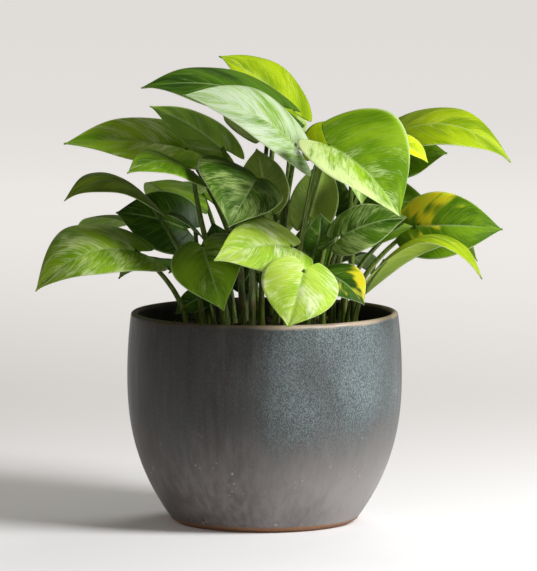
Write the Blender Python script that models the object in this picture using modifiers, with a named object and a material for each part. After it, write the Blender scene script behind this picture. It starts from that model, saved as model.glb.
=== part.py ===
"""A potted pothos: a glazed stoneware pot, its soil, short vines and heart-shaped leaves on stalks.

Metres, +Z up. The origin is the middle of the pot's flat foot. The plant's fuller side faces -Y.
Sizes below are in millimetres and become metres where the shapes are built.
"""

import math

import bmesh
import bpy
from mathutils import Vector

MM = 0.001
GAP = 0.35  # left between pieces that touch

# The pot, turned about Z
POT_HEIGHT = 138.0
POT_RADIUS = 90.0
WIDEST_HEIGHT = 97.0
FOOT_NARROWING = 0.34  # share of the radius lost at the foot
FOOT_CURVE = 2.4
RIM_NARROWING = 0.03
FOOT_CHAMFER = 2.0
WALL = 4.6
FLOOR = 8.0
LIP_ROUND = 2.3  # radius of the rounded lip
WALL_ROWS = 11
LIP_ROWS = 4
TURN_STEPS = 48

# The soil
SOIL_HEIGHT = 125.0
SOIL_CROWN = 3.5  # how much its middle stands above its edge
SOIL_ROWS = 5

# Leaves and stalks
BLADE_THICKNESS = 0.8
MIDRIB = 2.0  # half width of the strip along the middle of a large blade
MIDRIB_SHARE = 0.15  # the most of a small blade's half width that the strip takes
SHOULDER = 0.52  # the line between the midrib strip and the margin, as a share of the half width
BLADE_ROWS = (0.0, 0.06, 0.2, 0.38, 0.57, 0.78, 1.0)  # rows across the blade, from stalk to tip
LOBE = 0.22  # how far the two lobes reach back past the stalk, as a share of the length
WIDEST_ROW = 0.3
TIP_HALF_WIDTH = 0.7
STALK_RINGS = 9
STALK_TOP = 1.3
STALK_FOOT = 2.0
VINE_RADIUS = 2.6

COLLECTION = "potted_pothos"

COLOURS = {
    "glazed_stoneware": ((0.075, 0.083, 0.085), 0.42),
    "potting_soil": ((0.035, 0.02, 0.013), 0.95),
    "vine": ((0.16, 0.24, 0.06), 0.5),
    "leaf": ((0.09, 0.26, 0.03), 0.38),
}

VINES = {
    # name: foot on the soil (x, y), top (x, y, z)
    "vine_left": ((-24, -26), (-30, -30, 176)),
    "vine_front": ((-8, -38), (-8, -44, 172)),
    "vine_right": ((12, -34), (16, -38, 180)),
    "vine_middle": ((-14, -6), (-17, -6, 196)),
    "vine_tall": ((9, 2), (12, 4, 204)),
    "vine_back_left": ((-12, 28), (-16, 34, 188)),
    "vine_back_right": ((24, 24), (30, 30, 186)),
}

LEAVES = []


def leaf(name, base, tip, face, width, arch, fold, curl, root, sway=0.0, skew=0.0):
    """One leaf. base is where its stalk meets the blade, face the way its upper side looks, width its
    full width, arch how high the midrib bows, fold the slope of the halves from the midrib, and curl
    how much the margins turn down. root is a spot on the soil, or a vine and a height on it. sway
    bends the blade sideways, and skew makes one half wider than the other."""
    shape = (base, tip, face, width, arch, fold, curl, sway, skew)
    LEAVES.append((name, shape, root))


# Left side, from low to high
leaf("leaf_left_low", (-82, -26, 180), (-148, -46, 156), (-0.15, -0.66, 0.74), 64, 0.22, 0.05, 0.6, (-50, -34), skew=0.34)
leaf("leaf_left_middle", (-76, -6, 213), (-130, -28, 213), (-0.1, -0.3, 0.95), 50, 0.24, 0.1, 0.5, (-42, -10))
leaf("leaf_left_high", (-50, 16, 243), (-131, -2, 248), (0.0, -0.62, 0.78), 46, 0.07, 0.2, 0.3, ("vine_middle", 178))
leaf("leaf_left_curled", (-46, -25, 231), (-88, -62, 234), (-0.15, -0.55, 0.82), 50, 0.16, 0.1, 0.5, ("vine_left", 170))
leaf("leaf_left_inner", (-44, -12, 192), (-64, -26, 204), (-0.45, -0.5, 0.74), 26, 0.1, 0.15, 0.4, (-36, -8))
leaf("leaf_left_shaded", (-52, 26, 190), (-98, 30, 200), (-0.2, -0.8, 0.5), 44, 0.12, 0.15, 0.4, (-34, 12))
leaf("leaf_left_under", (-46, -34, 168), (-62, -46, 168), (-0.2, -0.5, 0.85), 20, 0.15, 0.15, 0.4, (-40, -38))

# Front, around the stalks
leaf("leaf_front_upper", (-5, -42, 229), (-23, -83, 201), (0.34, -0.62, 0.64), 60, 0.14, 0.1, 0.35, ("vine_front", 168), skew=0.28)
leaf("leaf_front_hanging", (-40, -50, 186), (-26, -82, 147), (-0.15, -0.85, 0.45), 48, 0.16, 0.1, 0.5, (-26, -44))
leaf("leaf_front_reaching", (18, -66, 187), (-32, -96, 181), (0.05, -0.75, 0.65), 50, 0.12, 0.15, 0.5, (6, -54))
leaf("leaf_front_drooping", (25, -105, 175), (15, -112, 140), (0.15, -0.85, 0.5), 50, 0.12, 0.1, 0.5, (20, -60))
leaf("leaf_front_inner", (34, -30, 184), (36, -38, 206), (0.3, -0.8, 0.5), 24, 0.1, 0.15, 0.3, (28, -22))
leaf("leaf_pot_edge", (-40, -20, 150), (-58, -24, 139), (-0.2, -0.8, 0.45), 18, 0.1, 0.1, 0.3, (-33, -20))
leaf("leaf_inner_low", (-6, 18, 158), (-10, 22, 206), (0.0, -0.95, 0.3), 46, 0.08, 0.2, 0.3, (-4, 12))
leaf("leaf_inner_right", (30, 16, 166), (36, 24, 200), (0.1, -0.95, 0.3), 30, 0.08, 0.2, 0.3, (20, 12))
leaf("leaf_inner_left", (-24, 8, 160), (-34, 8, 196), (-0.1, -0.95, 0.3), 34, 0.08, 0.2, 0.3, (-20, 4))

# Top
leaf("leaf_top_pale", (21, -38, 249), (-52, -60, 284), (0.1, -0.66, 0.75), 47, 0.13, 0.05, 0.35, ("vine_tall", 186), skew=0.18)
leaf("leaf_top_long", (8, 2, 274), (-80, -20, 286), (0.0, -0.5, 0.87), 58, 0.1, 0.1, 0.5, ("vine_tall", 198))
leaf("leaf_top_under", (-26, -16, 246), (-74, -34, 275), (-0.5, 0.35, 0.8), 30, 0.08, 0.1, 0.4, ("vine_middle", 190))
leaf("leaf_top_bright", (20, 37, 266), (-30, 34, 303), (0.3, -0.5, 0.82), 56, 0.08, 0.15, 0.3, ("vine_tall", 184))
leaf("leaf_top_back", (38, 31, 238), (66, 50, 255), (-0.15, -0.7, 0.7), 45, 0.12, 0.15, 0.3, ("vine_back_right", 180))
leaf("leaf_top_inner", (1, -17, 212), (-5, -29, 247), (0.2, 0.75, 0.6), 34, 0.08, 0.1, 0.3, (-2, -14))
leaf("leaf_middle_inner", (29, -22, 200), (40, -15, 240), (0.3, 0.75, 0.55), 32, 0.06, 0.1, 0.3, (22, -14))

# Right side, from high to low
leaf("leaf_right_big", (41, -58, 252), (87, -76, 207), (0.37, -0.81, 0.62), 72, 0.12, 0.6, 0.2, ("vine_right", 160))
leaf("leaf_right_high", (84, 12, 254), (161, 0, 236), (0.15, -0.5, 0.85), 50, 0.22, 0.1, 0.4, (38, 6))
leaf("leaf_right_dark", (78, 20, 234), (120, 22, 240), (-0.1, -0.7, 0.7), 38, 0.1, 0.15, 0.4, (44, 16))
leaf("leaf_right_young", (86, -22, 252), (106, -28, 238), (0.5, -0.7, 0.5), 16, 0.1, 0.2, 0.2, (44, -10))
leaf("leaf_right_behind", (68, 24, 202), (108, 18, 208), (0.0, -0.8, 0.6), 44, 0.12, 0.15, 0.4, (52, 6))
leaf("leaf_right_yellow", (98, -4, 194), (155, -14, 193), (0.1, -0.92, 0.35), 46, 0.1, 0.15, 0.3, (54, -8))
leaf("leaf_right_arched", (76, -44, 174), (140, -66, 166), (0.0, -0.1, 1.0), 52, 0.34, 0.05, 0.7, (58, -30), skew=-0.35)
leaf("leaf_right_level", (50, -46, 192), (92, -46, 204), (-0.1, -0.75, 0.66), 36, 0.1, 0.15, 0.4, (38, -20))
leaf("leaf_right_low", (38, -66, 170), (64, -84, 151), (0.2, -0.6, 0.75), 38, 0.14, 0.15, 0.4, (38, -50))
leaf("leaf_right_upright", (44, 4, 204), (44, -2, 232), (-0.2, -0.9, 0.3), 28, 0.08, 0.2, 0.3, (31, -3))
leaf("leaf_right_narrow", (60, -28, 232), (63, -36, 211), (0.3, -0.85, 0.3), 16, 0.08, 0.3, 0.2, (58, -18))

# Back
leaf("leaf_back_left", (-72, 48, 188), (-130, 82, 170), (-0.3, 0.4, 0.87), 58, 0.2, 0.15, 0.5, (-42, 24))
leaf("leaf_back_left_far", (-40, 64, 208), (-78, 128, 190), (-0.2, 0.5, 0.85), 54, 0.2, 0.15, 0.5, (-24, 42))
leaf("leaf_back_middle", (8, 66, 198), (14, 138, 172), (0.05, 0.5, 0.87), 54, 0.2, 0.15, 0.5, (4, 46))
leaf("leaf_back_right", (54, 60, 206), (98, 112, 186), (0.25, 0.45, 0.87), 54, 0.2, 0.15, 0.5, (34, 42))
leaf("leaf_back_right_far", (82, 42, 186), (142, 72, 164), (0.35, 0.3, 0.87), 56, 0.2, 0.15, 0.5, (50, 26))
leaf("leaf_back_upper_left", (-46, 48, 246), (-94, 88, 246), (-0.3, 0.3, 0.9), 52, 0.16, 0.15, 0.4, ("vine_back_left", 182))
leaf("leaf_back_upper", (2, 48, 254), (-6, 106, 256), (0.0, 0.4, 0.92), 56, 0.16, 0.15, 0.4, ("vine_back_left", 166))
leaf("leaf_back_upper_right", (54, 54, 246), (96, 92, 238), (0.3, 0.35, 0.88), 50, 0.16, 0.15, 0.4, ("vine_back_right", 164))
leaf("leaf_back_low", (-14, 62, 166), (-30, 116, 152), (-0.1, 0.6, 0.8), 46, 0.16, 0.15, 0.4, (-8, 52))
leaf("leaf_back_low_right", (40, 60, 166), (74, 104, 150), (0.3, 0.5, 0.8), 44, 0.16, 0.15, 0.4, (28, 54))
leaf("leaf_back_low_left", (-56, 52, 162), (-98, 92, 150), (-0.3, 0.5, 0.8), 44, 0.16, 0.15, 0.4, (-44, 40))


def clear_scene():
    for obj in list(bpy.data.objects):
        bpy.data.objects.remove(obj, do_unlink=True)


def make_collection(name):
    collection = bpy.data.collections.get(name) or bpy.data.collections.new(name)
    if name not in bpy.context.scene.collection.children:
        bpy.context.scene.collection.children.link(collection)
    return collection


def make_material(name, finish):
    """A Principled material of its own for a piece, in one of the object's finishes."""
    colour, roughness = COLOURS[finish]
    material = bpy.data.materials.new(name)
    material.use_nodes = True
    shader = material.node_tree.nodes["Principled BSDF"]
    shader.inputs["Base Color"].default_value = (*colour, 1.0)
    shader.inputs["Roughness"].default_value = roughness
    shader.inputs["Metallic"].default_value = 0.0
    material.diffuse_color = (*colour, 1.0)
    return material


def add_object(name, data, finish, collection):
    obj = bpy.data.objects.new(name, data)
    data.materials.append(make_material(name, finish))
    collection.objects.link(obj)
    return obj


def pot_radius(height):
    """The pot's outer radius at a height: it swells from the foot and draws in a little at the rim."""
    if height < WIDEST_HEIGHT:
        below = (WIDEST_HEIGHT - height) / WIDEST_HEIGHT
        return POT_RADIUS * (1 - FOOT_NARROWING * below**FOOT_CURVE)
    above = (height - WIDEST_HEIGHT) / (POT_HEIGHT - WIDEST_HEIGHT)
    return POT_RADIUS * (1 - RIM_NARROWING * above**2)


def turned(name, profile, finish, collection):
    """A solid turned about Z from a profile that runs from the axis round its outside to the axis."""
    mesh = bpy.data.meshes.new(name)
    bm = bmesh.new()
    points = [bm.verts.new((radius * MM, 0, height * MM)) for radius, height in profile]
    for first, second in zip(points, points[1:]):
        bm.edges.new((first, second))
    bm.to_mesh(mesh)
    bm.free()
    obj = add_object(name, mesh, finish, collection)
    screw = obj.modifiers.new("turn", "SCREW")
    screw.axis = "Z"
    screw.steps = TURN_STEPS
    screw.render_steps = TURN_STEPS
    screw.use_merge_vertices = True
    screw.merge_threshold = 0.00005
    screw.use_smooth_shade = True
    return obj


def make_pot(collection):
    lip_height = POT_HEIGHT - LIP_ROUND
    lip_centre = pot_radius(lip_height) - LIP_ROUND
    inside = []
    for row in range(WALL_ROWS + 1):
        height = FLOOR + (lip_height - FLOOR) * row / WALL_ROWS
        inside.append((pot_radius(height) - WALL, height))
    lip = []
    for row in range(1, LIP_ROWS):
        angle = math.pi * (1 - row / LIP_ROWS)
        lip.append((lip_centre + LIP_ROUND * math.cos(angle), lip_height + LIP_ROUND * math.sin(angle)))
    outside = []
    for row in range(WALL_ROWS + 1):
        height = lip_height + (FOOT_CHAMFER - lip_height) * row / WALL_ROWS
        outside.append((pot_radius(height), height))
    foot = (pot_radius(0) - FOOT_CHAMFER, 0)
    profile = [(0, FLOOR)] + inside + lip + outside + [foot, (0, 0)]
    return turned("pot", profile, "glazed_stoneware", collection)


def soil_height(radius):
    """The soil's surface stands a little higher in the middle."""
    edge = pot_radius(SOIL_HEIGHT) - WALL - GAP
    return SOIL_HEIGHT + SOIL_CROWN * (1 - (radius / edge) ** 2)


def make_soil(collection):
    edge = pot_radius(SOIL_HEIGHT) - WALL - GAP
    top = []
    for row in range(SOIL_ROWS + 1):
        radius = edge * row / SOIL_ROWS
        top.append((radius, soil_height(radius)))
    side = []
    bottom = FLOOR + GAP
    for row in range(1, WALL_ROWS):
        height = SOIL_HEIGHT + (bottom - SOIL_HEIGHT) * row / (WALL_ROWS - 1)
        side.append((pot_radius(height) - WALL - 2 * GAP, height))
    return turned("soil", top + side + [(0, bottom)], "potting_soil", collection)


def vine_centre(name, height):
    """The middle of a vine at a height: it leans from its foot to its top."""
    foot, top = VINES[name]
    foot_height = soil_height(math.hypot(*foot)) + GAP
    share = (height - foot_height) / (top[2] - foot_height)
    return Vector(
        (foot[0] + (top[0] - foot[0]) * share, foot[1] + (top[1] - foot[1]) * share, height)
    )


def make_vine(name, collection):
    """A short upright vine: a round rod that thins towards its rounded top."""
    foot, top = VINES[name]
    foot_height = soil_height(math.hypot(*foot)) + 3 * GAP
    low = vine_centre(name, foot_height)
    high = vine_centre(name, top[2])
    bm = bmesh.new()
    bmesh.ops.create_cone(
        bm,
        cap_ends=True,
        segments=8,
        radius1=VINE_RADIUS * MM,
        radius2=VINE_RADIUS * 0.8 * MM,
        depth=(high - low).length * MM,
    )
    turn = (high - low).to_track_quat("Z", "Y").to_matrix()
    bmesh.ops.rotate(bm, verts=bm.verts, matrix=turn)
    bmesh.ops.translate(bm, verts=bm.verts, vec=(low + high) * 0.5 * MM)
    mesh = bpy.data.meshes.new(name)
    bm.to_mesh(mesh)
    bm.free()
    return add_object(name, mesh, "vine", collection)


def outline(along):
    """The blade's half width at a share of its length, as a share of the widest: broad near the
    stalk, then drawn out to a point."""
    if along < WIDEST_ROW:
        return 1 - 0.45 * ((WIDEST_ROW - along) / WIDEST_ROW) ** 2.2
    past = (along - WIDEST_ROW) / (1 - WIDEST_ROW)
    return max(0.0, 1 - past**2) ** 1.25


class Blade:
    """The curved surface of one leaf, in millimetres."""

    def __init__(self, base, tip, face, width, arch, fold, curl, sway, skew):
        self.base = Vector(base)
        self.chord = Vector(tip) - self.base
        self.length = self.chord.length
        self.ahead = self.chord.normalized()
        face = Vector(face)
        self.up = (face - self.ahead * face.dot(self.ahead)).normalized()
        self.side = self.ahead.cross(self.up)
        self.width = width
        self.arch = arch
        self.fold = fold
        self.curl = curl
        self.sway = sway
        self.skew = skew

    def point(self, along, across):
        off = abs(across)
        back = LOBE * (1 - along) ** 3 * off * (1.6 - 0.6 * off)
        along_here = along - back
        half = self.width / 2 * (1 + self.skew * math.copysign(1, across))
        reach = max(TIP_HALF_WIDTH, outline(along) * half) * across
        bow = 4 * self.arch * self.length * along_here * (1 - along_here)
        rise = self.fold * abs(reach) - self.curl * reach**2 / self.width
        aside = self.sway * self.length * along_here**2
        return (
            self.base
            + self.chord * along_here
            + self.up * (bow + rise)
            + self.side * (reach + aside)
        )

    def normal(self, along, across):
        step = 0.01
        low = max(along - step, 0)
        high = min(along + step, 1)
        left = max(across - step, -1)
        right = min(across + step, 1)
        forward = self.point(high, across) - self.point(low, across)
        sideways = self.point(along, right) - self.point(along, left)
        return sideways.cross(forward).normalized()


def bezier(points, share):
    """A point on the cubic curve through four control points, and the way the curve runs there."""
    first, second, third, fourth = points
    rest = 1 - share
    place = (
        first * rest**3
        + second * 3 * rest**2 * share
        + third * 3 * rest * share**2
        + fourth * share**3
    )
    way = (
        (second - first) * rest**2 + (third - second) * 2 * rest * share + (fourth - third) * share**2
    )
    return place, way.normalized()


def stalk_route(blade, root):
    """The stalk's four control points, from under the blade to its foot on the soil or on a vine."""
    start = blade.point(0.03, 0) - blade.normal(0.03, 0) * BLADE_THICKNESS / 2
    leave = (-blade.ahead * 0.55 - blade.up * 0.85).normalized()
    if isinstance(root[0], str):
        name, height = root
        centre = vine_centre(name, height)
        out = Vector((start.x - centre.x, start.y - centre.y, 0)).normalized()
        foot = centre + out * (VINE_RADIUS + STALK_FOOT + GAP)
        rise = Vector((out.x * 0.35, out.y * 0.35, 1)).normalized()
    else:
        foot = Vector((root[0], root[1], 0))
        foot.z = soil_height(math.hypot(*root)) + 3 * GAP
        rise = Vector((0, 0, 1))
    reach = (start - foot).length
    return start, start + leave * reach * 0.22, foot + rise * reach * 0.45, foot


def make_leaf(name, shape, root, collection):
    """The blade and its stalk grow as one piece. A flat slab is gridded, its middle face under the
    blade's base is drawn out ring by ring, and every corner then moves to its place."""
    blade = Blade(*shape)
    route = stalk_route(blade, root)
    strip = min(MIDRIB_SHARE, MIDRIB / (blade.width / 2))
    lines = (-1.0, -SHOULDER, -strip, strip, SHOULDER, 1.0)
    columns = len(lines) - 1
    rows = len(BLADE_ROWS) - 1
    bm = bmesh.new()
    bmesh.ops.create_grid(bm, x_segments=columns, y_segments=rows, size=1.0)
    for vert in bm.verts:
        line = round((vert.co.x + 1) / 2 * columns)
        row = round((vert.co.y + 1) / 2 * rows)
        across = vert.co.x if row == rows else lines[line]
        vert.co = (across, BLADE_ROWS[row], 0.0)
    lower = bm.faces[:]
    drawn = bmesh.ops.extrude_face_region(bm, geom=lower, use_keep_orig=True)
    for item in drawn["geom"]:
        if isinstance(item, bmesh.types.BMVert):
            item.co.z = 1.0
    bmesh.ops.recalc_face_normals(bm, faces=bm.faces)

    def is_stalk_face(face):
        middle = face.calc_center_median()
        return middle.z < 0.01 and abs(middle.x) < strip / 2 and middle.y < BLADE_ROWS[1]

    end = next(face for face in bm.faces if is_stalk_face(face))
    for ring in range(1, STALK_RINGS + 1):
        drawn = bmesh.ops.extrude_face_region(bm, geom=[end])
        bmesh.ops.delete(bm, geom=[end], context="FACES_ONLY")
        end = next(item for item in drawn["geom"] if isinstance(item, bmesh.types.BMFace))
        for corner in end.verts:
            corner.co.z = -ring

    side = blade.side.copy()
    rings = {}
    for ring in range(1, STALK_RINGS + 1):
        share = ring / STALK_RINGS
        centre, way = bezier(route, share)
        side = (side - way * side.dot(way)).normalized()
        radius = STALK_TOP + (STALK_FOOT - STALK_TOP) * share
        rings[ring] = (centre, side.copy(), side.cross(way), radius)

    for vert in bm.verts:
        across, along, layer = vert.co
        if layer > -0.5:
            place = blade.point(along, across)
            lift = (layer - 0.5) * BLADE_THICKNESS
            vert.co = (place + blade.normal(along, across) * lift) * MM
            continue
        centre, sideways, forward, radius = rings[round(-layer)]
        right = 1 if across > 0 else -1
        front = 1 if along > BLADE_ROWS[1] / 2 else -1
        vert.co = (centre + (sideways * right + forward * front) * radius * math.sqrt(0.5)) * MM

    if bm.calc_volume(signed=True) < 0:
        bmesh.ops.reverse_faces(bm, faces=bm.faces)
    mesh = bpy.data.meshes.new(name)
    bm.to_mesh(mesh)
    bm.free()
    mesh.shade_smooth()
    return add_object(name, mesh, "leaf", collection)


def build():
    clear_scene()
    collection = make_collection(COLLECTION)
    make_pot(collection)
    make_soil(collection)
    for name in VINES:
        make_vine(name, collection)
    for name, shape, root in LEAVES:
        make_leaf(name, shape, root, collection)


build()
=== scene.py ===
import math
import random

import bmesh
import bpy
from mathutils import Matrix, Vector, noise


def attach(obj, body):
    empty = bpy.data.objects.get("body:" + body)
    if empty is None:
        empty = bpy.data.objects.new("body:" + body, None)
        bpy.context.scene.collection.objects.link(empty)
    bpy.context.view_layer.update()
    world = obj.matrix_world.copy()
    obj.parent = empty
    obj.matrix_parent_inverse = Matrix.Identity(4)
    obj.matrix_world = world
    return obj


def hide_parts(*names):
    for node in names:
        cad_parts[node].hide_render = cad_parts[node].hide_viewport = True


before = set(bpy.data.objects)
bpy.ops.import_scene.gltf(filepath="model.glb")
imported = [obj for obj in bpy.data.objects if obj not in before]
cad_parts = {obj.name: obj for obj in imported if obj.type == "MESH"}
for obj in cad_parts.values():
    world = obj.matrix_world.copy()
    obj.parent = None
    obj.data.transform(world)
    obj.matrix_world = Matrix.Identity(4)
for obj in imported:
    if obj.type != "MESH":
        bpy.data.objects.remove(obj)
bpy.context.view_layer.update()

MM = 0.001  # the sizes below are in millimetres

# ---------------------------------------------------------------------------------------------
# The camera: level with the top of the pot and a long way off, so that the pot looks upright
# and its mouth is a narrow ellipse.
# ---------------------------------------------------------------------------------------------
AIM = Vector((0.0026, 0.0, 0.1548))
CAMERA_HEIGHT_ANGLE = math.radians(6.0)
CAMERA_DISTANCE = 3.6
VIEW_HEIGHT = 0.3737  # how much the view takes in at the plant, in metres
SENSOR_WIDTH = 36.0

camera_data = bpy.data.cameras.new("camera")
camera_data.sensor_width = SENSOR_WIDTH
camera_data.lens = SENSOR_WIDTH * CAMERA_DISTANCE / VIEW_HEIGHT
camera_data.clip_end = 100.0
camera = bpy.data.objects.new("camera", camera_data)
bpy.context.scene.collection.objects.link(camera)
away = Vector((0.0, -math.cos(CAMERA_HEIGHT_ANGLE), math.sin(CAMERA_HEIGHT_ANGLE)))
camera.location = AIM + away * CAMERA_DISTANCE
camera.rotation_euler = (-away).to_track_quat("-Z", "Y").to_euler()
bpy.context.scene.camera = camera

# ---------------------------------------------------------------------------------------------
# The studio: a pale sheet that runs back out of sight, a large soft light high on the right,
# a weaker one above and behind for the top leaves and the back, a faint one in front, and a dim
# warm room all round.
# ---------------------------------------------------------------------------------------------
FLOOR_SIZE = 30.0
FLOOR_NEAR = (0.90, 0.90, 0.915, 1.0)
# painted shade: the far colour of the sheet is darker, standing in for the light falling off as it runs
# back
FLOOR_FAR_PAINTED_SHADE = (0.60, 0.585, 0.578, 1.0)
FLOOR_PAINTED_GLOW = (1.0, 0.975, 0.955, 1.0)  # painted glow: the sheet glows though it is no lamp, more the further back it runs, lifting it towards white
ROOM_COLOUR = (1.0, 0.89, 0.79, 1.0)
ROOM_STRENGTH = 0.16


def put(tree, kind, **settings):
    """A new shader node."""
    node = tree.nodes.new(kind)
    for name, value in settings.items():
        setattr(node, name, value)
    return node


def feed(tree, socket, value):
    """Gives a socket another socket's output, or a number or colour of its own."""
    if isinstance(value, bpy.types.NodeSocket):
        tree.links.new(value, socket)
    elif socket.type == "RGBA" and len(value) == 3:
        socket.default_value = (*value, 1.0)
    else:
        socket.default_value = value


def calc(tree, operation, *values):
    """One step of arithmetic."""
    node = put(tree, "ShaderNodeMath", operation=operation)
    for socket, value in zip(node.inputs, values):
        feed(tree, socket, value)
    return node.outputs[0]


def plus(tree, first, second):
    return calc(tree, "ADD", first, second)


def times(tree, first, second):
    return calc(tree, "MULTIPLY", first, second)


def rise(tree, value, start, end, low=0.0, high=1.0):
    """Goes smoothly from low to high as value goes from start to end."""
    node = put(tree, "ShaderNodeMapRange", interpolation_type="SMOOTHSTEP")
    for socket, given in zip(node.inputs, (value, start, end, low, high)):
        feed(tree, socket, given)
    return node.outputs[0]


def blend_colours(tree, share, first, second):
    """first where share is 0, second where it is 1."""
    node = put(tree, "ShaderNodeMix", data_type="RGBA")
    feed(tree, node.inputs[0], share)
    feed(tree, node.inputs[6], first)
    feed(tree, node.inputs[7], second)
    return node.outputs[2]


def mottle(tree, vector, scale, detail=2.0, roughness=0.5):
    """Cloudy noise from 0 to 1."""
    node = put(tree, "ShaderNodeTexNoise")
    feed(tree, node.inputs["Vector"], vector)
    node.inputs["Scale"].default_value = scale
    node.inputs["Detail"].default_value = detail
    node.inputs["Roughness"].default_value = roughness
    return node.outputs[0]


def stretch(tree, vector, scale):
    """The same place, with each direction scaled."""
    node = put(tree, "ShaderNodeVectorMath", operation="MULTIPLY")
    feed(tree, node.inputs[0], vector)
    node.inputs[1].default_value = scale
    return node.outputs[0]


def object_place(tree):
    """Where a spot is on its piece, in metres."""
    return put(tree, "ShaderNodeTexCoord").outputs["Object"]


def split(tree, vector):
    """The three numbers of a vector."""
    node = put(tree, "ShaderNodeSeparateXYZ")
    feed(tree, node.inputs[0], vector)
    return node.outputs


def join(tree, *values):
    """A vector from three numbers."""
    node = put(tree, "ShaderNodeCombineXYZ")
    for socket, value in zip(node.inputs, values):
        feed(tree, socket, value)
    return node.outputs[0]


def dents(tree, height, strength, depth):
    """The normal of a surface that height lifts and lowers."""
    node = put(tree, "ShaderNodeBump")
    feed(tree, node.inputs["Height"], height)
    node.inputs["Strength"].default_value = strength
    node.inputs["Distance"].default_value = depth
    return node.outputs[0]


def new_material(name):
    """A material with its node tree and its Principled shader."""
    material = bpy.data.materials.new(name)
    material.use_nodes = True
    tree = material.node_tree
    return material, tree, tree.nodes["Principled BSDF"]


def add_piece(name, bm, materials):
    """A finished piece from a bmesh, which is used up."""
    mesh = bpy.data.meshes.new(name)
    bm.to_mesh(mesh)
    bm.free()
    mesh.shade_smooth()
    for material in materials:
        mesh.materials.append(material)
    piece = bpy.data.objects.new(name, mesh)
    bpy.context.scene.collection.objects.link(piece)
    return piece


def area_light(name, place, size, power, colour):
    """A round soft light that shines at the plant."""
    data = bpy.data.lights.new(name, "AREA")
    data.shape = "DISK"
    data.size = size
    data.energy = power
    data.color = colour
    light = bpy.data.objects.new(name, data)
    bpy.context.scene.collection.objects.link(light)
    light.location = place
    light.rotation_euler = (AIM - Vector(place)).to_track_quat("-Z", "Y").to_euler()
    return light


# The sheet's colour carries painted shade that darkens it as it runs back, and a painted glow that lifts it
# again further back
paper, paper_tree, paper_shader = new_material("studio_paper")
paper_y = split(paper_tree, object_place(paper_tree))[1]
paper_painted_shade = rise(paper_tree, paper_y, -0.15, 0.75)
paper_colour = blend_colours(paper_tree, paper_painted_shade, FLOOR_NEAR, FLOOR_FAR_PAINTED_SHADE)
feed(paper_tree, paper_shader.inputs["Base Color"], paper_colour)
paper_shader.inputs["Roughness"].default_value = 0.9
paper_shader.inputs["Specular IOR Level"].default_value = 0.1
paper_shader.inputs["Emission Color"].default_value = FLOOR_PAINTED_GLOW
feed(paper_tree, paper_shader.inputs["Emission Strength"], rise(paper_tree, paper_y, -0.2, 2.6, 0.03, 0.64))
floor_bm = bmesh.new()
bmesh.ops.create_grid(floor_bm, x_segments=1, y_segments=1, size=FLOOR_SIZE)
floor = add_piece("studio_floor", floor_bm, [paper])

area_light("key_light", (1.5, -0.75, 1.25), 0.8, 53.0, (1.0, 0.995, 0.99))
top_light = area_light("top_light", (0.5, 1.3, 1.7), 1.0, 12.0, (1.0, 1.0, 0.97))
top_light.visible_glossy = False  # it warms the leaves without laying a white sheen on them
area_light("front_light", (-0.6, -2.2, 1.0), 1.6, 2.6, (1.0, 0.98, 0.95))

room = bpy.data.worlds.new("room")
room.use_nodes = True
room_walls = room.node_tree.nodes["Background"]
room_walls.inputs["Color"].default_value = ROOM_COLOUR
room_walls.inputs["Strength"].default_value = ROOM_STRENGTH
bpy.context.scene.world = room
bpy.context.scene.view_settings.view_transform = "Standard"

# ---------------------------------------------------------------------------------------------
# The pot: stoneware thrown on a wheel and dipped in a dark glaze. High up on the front right it
# ran thick and broke into fine teal specks, and it left the lip brown and the foot bare clay.
# ---------------------------------------------------------------------------------------------
POT_HEIGHT = 138.0
POT_RADIUS = 90.0
WIDEST_HEIGHT = 97.0
FOOT_NARROWING = 0.34
FOOT_CURVE = 2.4
RIM_NARROWING = 0.03
FOOT_CHAMFER = 2.0
WALL = 4.6
POT_FLOOR = 8.0
LIP_ROUND = 2.3
GLAZE_EDGE = 3.2  # the height where the glaze stops above the foot
GLAZE_STEP = 0.35  # the glaze stands this far out from the bare clay
WALL_ROWS = 30
LIP_ROWS = 8
POT_STEPS = 160
FLAT_MIDDLE = 30.0  # a ring that keeps the faces of the flat floor and underside short
SMOOTH_GLAZE = ((0.015, 0.013, 0.012), (0.038, 0.035, 0.033))  # dark and light of the runs
RUN_TEAL = (0.026, 0.031, 0.030)
THIN_GLAZE = ((0.086, 0.074, 0.069), (0.150, 0.136, 0.131))
# painted light: the thin glaze low on the right is lightened where the light falls on that side
THIN_GLAZE_PAINTED_LIGHT = (0.36, 0.34, 0.335)
BROKEN_GLAZE = ((0.066, 0.090, 0.096), (0.225, 0.292, 0.302))  # ground and specks
FAINT_SPECKS = (0.19, 0.20, 0.195)
PINHOLE = (0.42, 0.41, 0.39)
LIP_BROWN = (0.040, 0.027, 0.016)
# painted highlight: the lip is lightened on the right, where the light falls
LIP_PAINTED_HIGHLIGHT = (0.42, 0.33, 0.25)
BARE_CLAY = ((0.16, 0.075, 0.032), (0.34, 0.175, 0.085))


def pot_radius(height):
    """The pot's outer radius: it swells from the foot and draws in a little at the rim."""
    if height < WIDEST_HEIGHT:
        below = (WIDEST_HEIGHT - height) / WIDEST_HEIGHT
        return POT_RADIUS * (1 - FOOT_NARROWING * below**FOOT_CURVE)
    above = (height - WIDEST_HEIGHT) / (POT_HEIGHT - WIDEST_HEIGHT)
    return POT_RADIUS * (1 - RIM_NARROWING * above**2)


def turned(profile, steps):
    """A closed shape turned about Z from a profile that runs from the axis round to the axis."""
    bm = bmesh.new()
    points = [bm.verts.new((radius * MM, 0, height * MM)) for radius, height in profile]
    edges = [bm.edges.new(pair) for pair in zip(points, points[1:])]
    bmesh.ops.spin(
        bm, geom=points + edges, cent=(0, 0, 0), axis=(0, 0, 1), angle=math.tau, steps=steps, use_merge=True
    )
    bmesh.ops.remove_doubles(bm, verts=bm.verts, dist=0.00001)
    bmesh.ops.recalc_face_normals(bm, faces=bm.faces)
    return bm


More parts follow.
